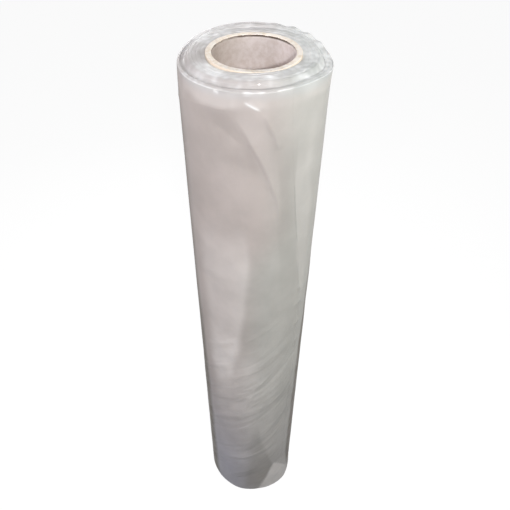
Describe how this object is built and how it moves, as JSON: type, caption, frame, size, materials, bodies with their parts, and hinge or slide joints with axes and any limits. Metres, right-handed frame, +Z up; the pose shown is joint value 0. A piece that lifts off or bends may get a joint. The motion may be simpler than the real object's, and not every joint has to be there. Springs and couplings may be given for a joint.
{
  "type": "pvc sheeting roll",
  "caption": "Upright roll of translucent soft plastic sheeting wound on a cardboard core, with a collared, softly folded end and a skewed loose end down its side.",
  "frame": {"origin": "on the core's axis, in the plane of its lower end, which is the floor", "axes": "+Z up along the core, towards the end that shows in the picture; -Y faces the camera; +X to the camera's right"},
  "size_m": [0.1413, 0.1411, 0.7667],
  "materials": {
    "cardboard": "matte",
    "film": "satin"
  },
  "bodies": {
    "root": {"core_tube": "cardboard", "film_roll": "film"}
  },
  "joints": []
}
